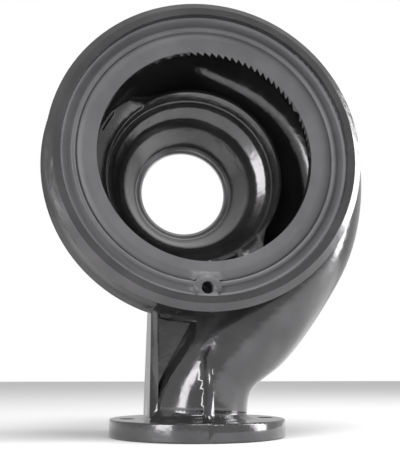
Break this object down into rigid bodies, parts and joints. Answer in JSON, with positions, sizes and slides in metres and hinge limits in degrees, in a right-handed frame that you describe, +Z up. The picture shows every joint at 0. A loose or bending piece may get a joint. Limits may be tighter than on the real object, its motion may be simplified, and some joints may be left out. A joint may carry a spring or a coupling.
{
  "type": "volute pump casing",
  "caption": "Cast volute casing of a centrifugal pump, with a wide stepped impeller opening, a spiral channel and a ribbed swan-neck discharge standing on a round bolted flange.",
  "frame": {"origin": "centre of the discharge flange's bottom face", "axes": "+Z up along the discharge axis towards the impeller axis, impeller opening faces -Y, suction flange faces +Y, +X to the side where the spiral is widest"},
  "size_m": [0.3977, 0.238, 0.5098],
  "materials": {
    "casing": "glossy dark paint on the casting, satin grainy ring faces, bright machined edges"
  },
  "bodies": {
    "root": {"volute_casing": "casing"}
  },
  "joints": []
}
